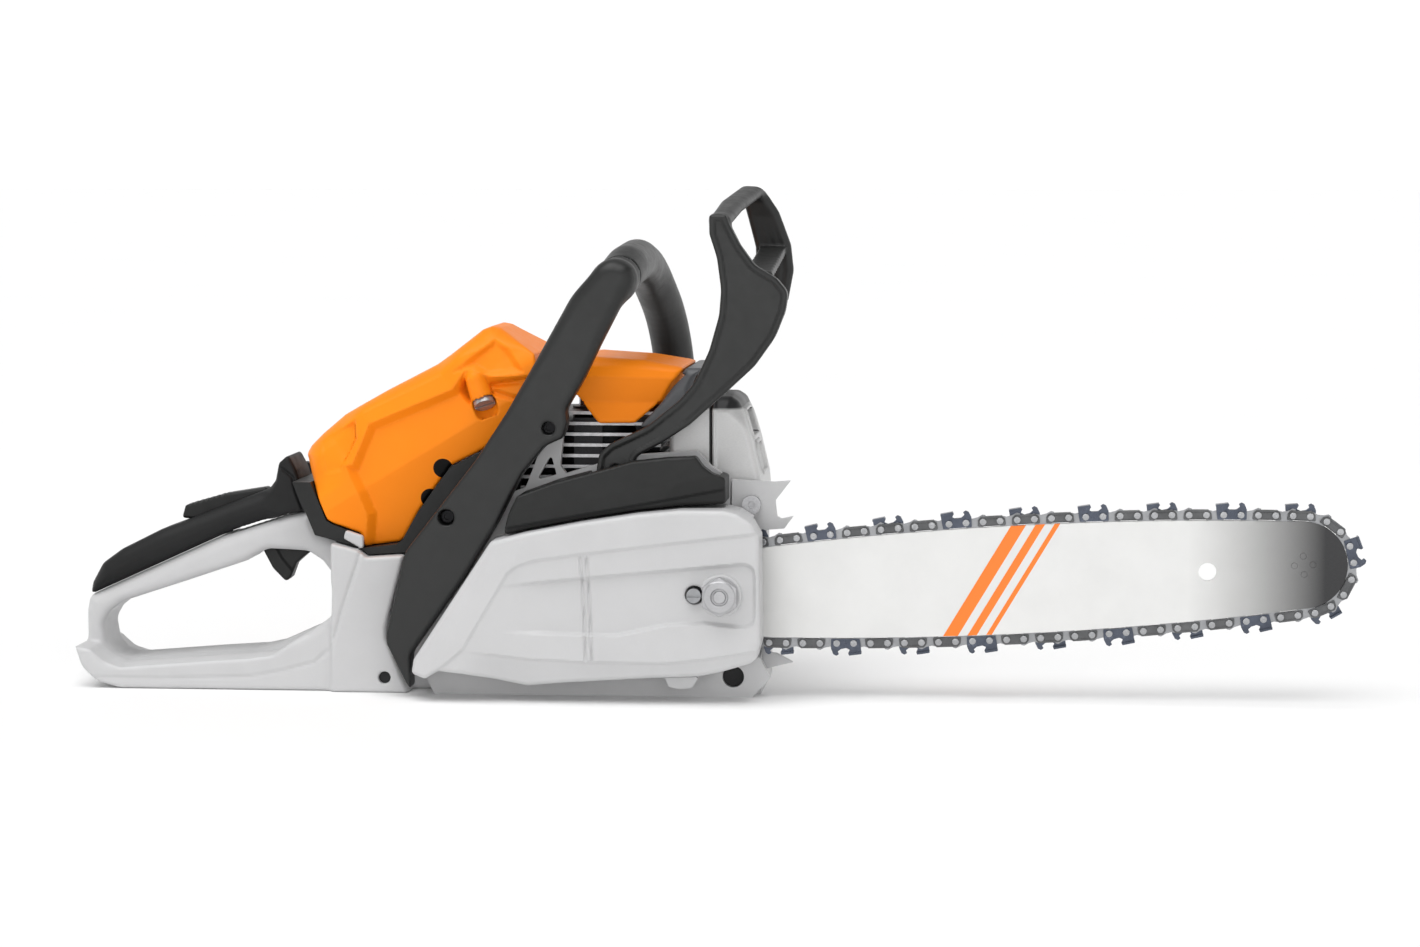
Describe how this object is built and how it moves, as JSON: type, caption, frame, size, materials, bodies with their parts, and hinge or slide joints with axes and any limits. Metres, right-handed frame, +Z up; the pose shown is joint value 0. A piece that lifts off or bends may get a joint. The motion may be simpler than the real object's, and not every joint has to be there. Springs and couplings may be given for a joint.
{
  "type": "chainsaw",
  "caption": "Petrol chainsaw with a guide bar and chain, moulded rear handle, wrap-round front handle, hand guard, orange covers and pale side cover.",
  "frame": {"origin": "middle of the whole box in X and Y, at the ground the saw stands on", "axes": "+X forwards towards the bar's nose, +Y to the saw's left (the starter side), +Z up"},
  "size_m": [0.7156, 0.2313, 0.2802],
  "materials": {
    "chain_links": "brushed",
    "chain_straps": "oiled, dark",
    "chain_cutters": "oiled, dark, with chromed edges",
    "chain_rivets": "polished heads",
    "guide_bar": "satin paint fading to dark steel",
    "bare_steel": "ground",
    "magnesium": "cast, powder coated light grey",
    "cast_aluminium": "cast",
    "spark_plug": "plated",
    "rubber": "matt",
    "black_plastic": "fine texture",
    "muffler": "pressed sheet, lightly brushed",
    "light_grey_plastic": "satin",
    "rope": "braided",
    "soft_grip": "matt",
    "filter_felt": "felt",
    "orange_plastic": "satin",
    "lock_screw": "zinc plated",
    "nut": "zinc plated",
    "handle_black": "fine texture",
    "black_screws": "black oxide"
  },
  "bodies": {
    "saw": {"engine_housing": "magnesium", "inner_side_plate": "bare_steel", "bar_stud": "bare_steel", "crank_bearings": "bare_steel", "brake_band": "bare_steel", "cylinder": "cast_aluminium", "spark_plug": "spark_plug", "ignition_lead": "rubber", "ignition_module": "black_plastic", "muffler_rear_shell": "muffler", "muffler_front_shell": "muffler", "starter_cover": "light_grey_plastic", "recoil_spring": "bare_steel", "rear_handle_housing": "light_grey_plastic", "rear_grip": "soft_grip", "filter_base": "black_plastic", "intake_boot": "rubber", "carburetor": "cast_aluminium", "air_filter": "filter_felt", "front_shroud": "orange_plastic", "shroud_trim": "black_plastic", "brake_cover": "black_plastic", "front_handle": "handle_black", "housing_screws": "black_screws", "bumper_spike": "bare_steel", "chain_catcher": "light_grey_plastic", "vibration_buffers": "rubber"},
    "crank": {"crankshaft": "bare_steel", "flywheel": "cast_aluminium", "clutch_hub": "bare_steel", "clutch_shoes": "bare_steel", "connecting_rod_lower": "bare_steel", "drum_retainer": "bare_steel"},
    "drum": {"clutch_drum": "bare_steel"},
    "piston_group": {"piston": "cast_aluminium", "piston_pin": "bare_steel", "connecting_rod_upper": "bare_steel"},
    "trigger": {"throttle_trigger": "black_plastic"},
    "throttle": {"throttle_shaft": "bare_steel"},
    "lockout": {"throttle_lockout": "black_plastic"},
    "guard": {"hand_guard": "handle_black"},
    "bar": {"guide_bar": "guide_bar", "nose_bearing": "bare_steel", "chain_drive_links": "chain_links", "chain_tie_straps": "chain_straps", "chain_cutters": "chain_cutters", "chain_rivets": "chain_rivets", "tension_slider": "bare_steel"},
    "nose_wheel": {"nose_sprocket": "bare_steel"},
    "tensioner": {"tension_screw": "bare_steel"},
    "side_cover": {"sprocket_cover": "light_grey_plastic"},
    "nut": {"bar_nut": "nut"},
    "fuel_cap": {"fuel_cap": "black_plastic"},
    "oil_cap": {"oil_cap": "black_plastic"},
    "control_lever": {"master_control_lever": "black_plastic"},
    "top_cover": {"filter_cover": "orange_plastic"},
    "cover_lock": {"filter_cover_lock": "lock_screw"},
    "pull": {"starter_grip": "black_plastic", "starter_rope": "rope"},
    "pulley": {"starter_pulley": "black_plastic"}
  },
  "joints": [
    {"name": "crank_spin", "type": "hinge", "parent": "saw", "child": "crank", "pos_m": [-0.06981, -0.01515, 0.052], "axis": [0, 1, 0], "continuous": true},
    {"name": "drum_spin", "type": "hinge", "parent": "saw", "child": "drum", "pos_m": [-0.06981, -0.05815, 0.052], "axis": [0, 1, 0], "continuous": true},
    {"name": "piston_slide", "type": "slide", "parent": "saw", "child": "piston_group", "axis": [0, 0, 1], "range_m": [0, 0.03]},
    {"name": "trigger_pull", "type": "hinge", "parent": "saw", "child": "trigger", "pos_m": [-0.22981, -0.02315, 0.086], "axis": [0, 1, 0], "range_deg": [0, 15], "stiffness_Nm_per_rad": 0.2, "springref_deg": -17.19},
    {"name": "throttle_turn", "type": "hinge", "parent": "saw", "child": "throttle", "pos_m": [-0.14181, -0.01515, 0.118], "axis": [0, 1, 0], "range_deg": [0, 75]},
    {"name": "lockout_press", "type": "hinge", "parent": "saw", "child": "lockout", "pos_m": [-0.25781, -0.02315, 0.101], "axis": [0, 1, 0], "range_deg": [-6, 0], "stiffness_Nm_per_rad": 0.2, "springref_deg": 17.19},
    {"name": "guard_tilt", "type": "hinge", "parent": "saw", "child": "guard", "pos_m": [-0.04981, -0.07915, 0.126], "axis": [0, 1, 0], "range_deg": [0, 20]},
    {"name": "bar_tension", "type": "slide", "parent": "saw", "child": "bar", "axis": [0.9981, 0, 0.061], "range_m": [-0.006, 0]},
    {"name": "nose_spin", "type": "hinge", "parent": "bar", "child": "nose_wheel", "pos_m": [0.32432, -0.06815, 0.07611], "axis": [0, 1, 0], "continuous": true},
    {"name": "tension_turn", "type": "hinge", "parent": "saw", "child": "tensioner", "pos_m": [-0.00481, -0.08815, 0.0605], "axis": [0, 1, 0], "range_deg": [-1441, 0]},
    {"name": "side_cover_off", "type": "slide", "parent": "saw", "child": "side_cover", "axis": [0, -1, 0], "range_m": [0, 0.05]},
    {"name": "nut_turn", "type": "hinge", "parent": "side_cover", "child": "nut", "pos_m": [0.00969, -0.11215, 0.0605], "axis": [0, 1, 0], "range_deg": [0, 1800]},
    {"name": "fuel_cap_turn", "type": "hinge", "parent": "saw", "child": "fuel_cap", "pos_m": [-0.18781, 0.02585, 0.044], "axis": [0, 1, 0], "range_deg": [0, 90]},
    {"name": "oil_cap_turn", "type": "hinge", "parent": "saw", "child": "oil_cap", "pos_m": [0.00619, 0.03185, 0.026], "axis": [0, 1, 0], "range_deg": [0, 90]},
    {"name": "control_lever_turn", "type": "hinge", "parent": "saw", "child": "control_lever", "pos_m": [-0.22481, 0.03085, 0.109], "axis": [0, 1, 0], "range_deg": [-20, 40]},
    {"name": "top_cover_off", "type": "slide", "parent": "saw", "child": "top_cover", "axis": [-0.2, 0, 0.9798], "range_m": [0, 0.06]},
    {"name": "cover_lock_turn", "type": "hinge", "parent": "top_cover", "child": "cover_lock", "pos_m": [-0.12531, -0.06015, 0.1597], "axis": [-0.3, 0.47, 0.8301], "range_deg": [0, 90]},
    {"name": "starter_pull", "type": "slide", "parent": "saw", "child": "pull", "axis": [0, 0, 1], "range_m": [0, 0.1], "stiffness_N_per_m": 40, "springref_m": -0.3},
    {"name": "pulley_turn", "type": "hinge", "parent": "saw", "child": "pulley", "pos_m": [-0.06981, 0.04385, 0.052], "axis": [0, 1, 0], "range_deg": [0, 213]}
  ],
  "couplings": [
    {"joint": "throttle_turn", "follows": "trigger_pull", "ratio": 4.8},
    {"joint": "nose_spin", "follows": "drum_spin", "ratio": 0.66667},
    {"joint": "tension_turn", "follows": "bar_tension", "rad_per_m": 4188.8},
    {"joint": "pulley_turn", "follows": "starter_pull", "rad_per_m": 37.037}
  ]
}
